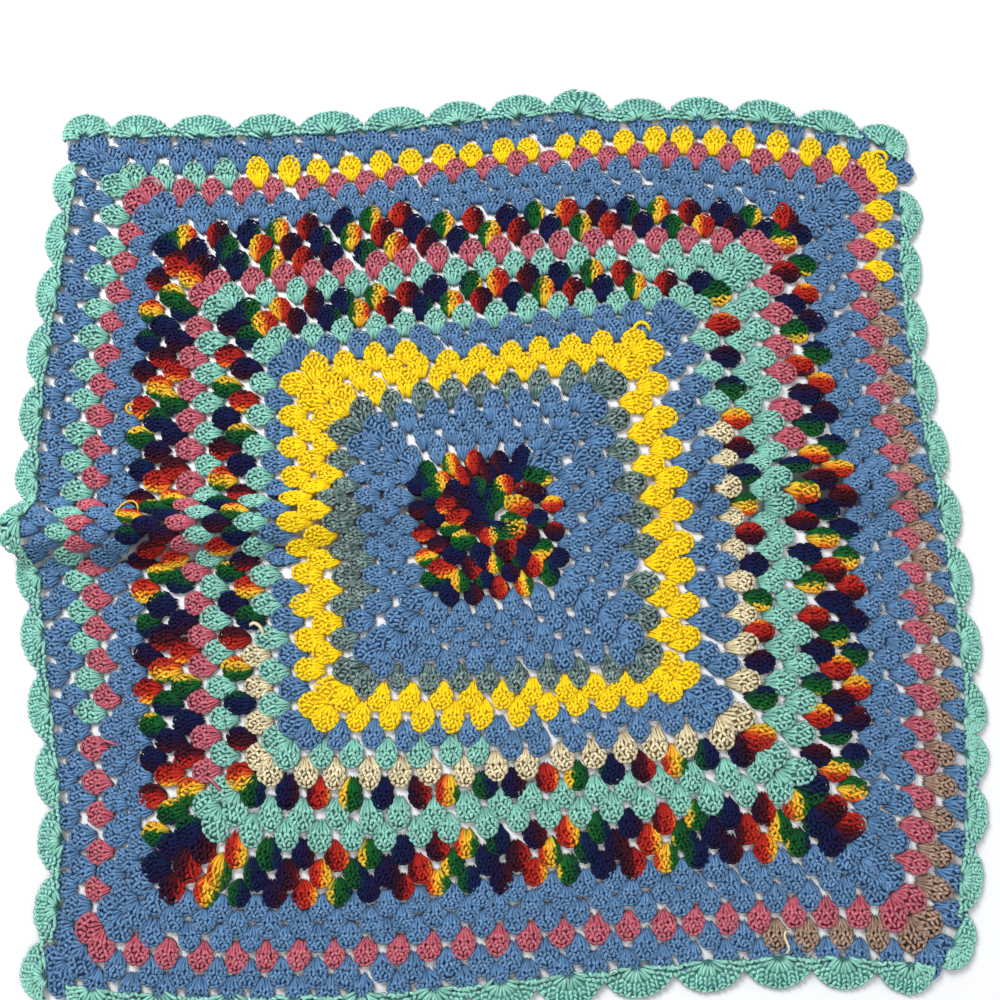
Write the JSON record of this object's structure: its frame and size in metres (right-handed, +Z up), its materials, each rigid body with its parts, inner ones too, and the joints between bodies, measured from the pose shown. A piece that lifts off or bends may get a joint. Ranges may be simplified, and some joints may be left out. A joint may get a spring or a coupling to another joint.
{
  "type": "granny square blanket",
  "caption": "Crocheted blanket worked in rounds of clusters as a single large granny square of striped yarn, with a scalloped shell edging, laid out with a low ridge across it.",
  "frame": {"origin": "middle of the blanket's bounding box, on the surface that the blanket lies on", "axes": "+Z up out of that surface, +X to the right across the blanket along its ridge, +Y towards its far edge"},
  "size_m": [0.8894, 0.8712, 0.034],
  "materials": {
    "granny_square": "matte crocheted yarn",
    "shell_edging": "matte crocheted yarn"
  },
  "bodies": {
    "root": {"granny_square": "granny_square", "shell_edging": "shell_edging"}
  },
  "joints": []
}
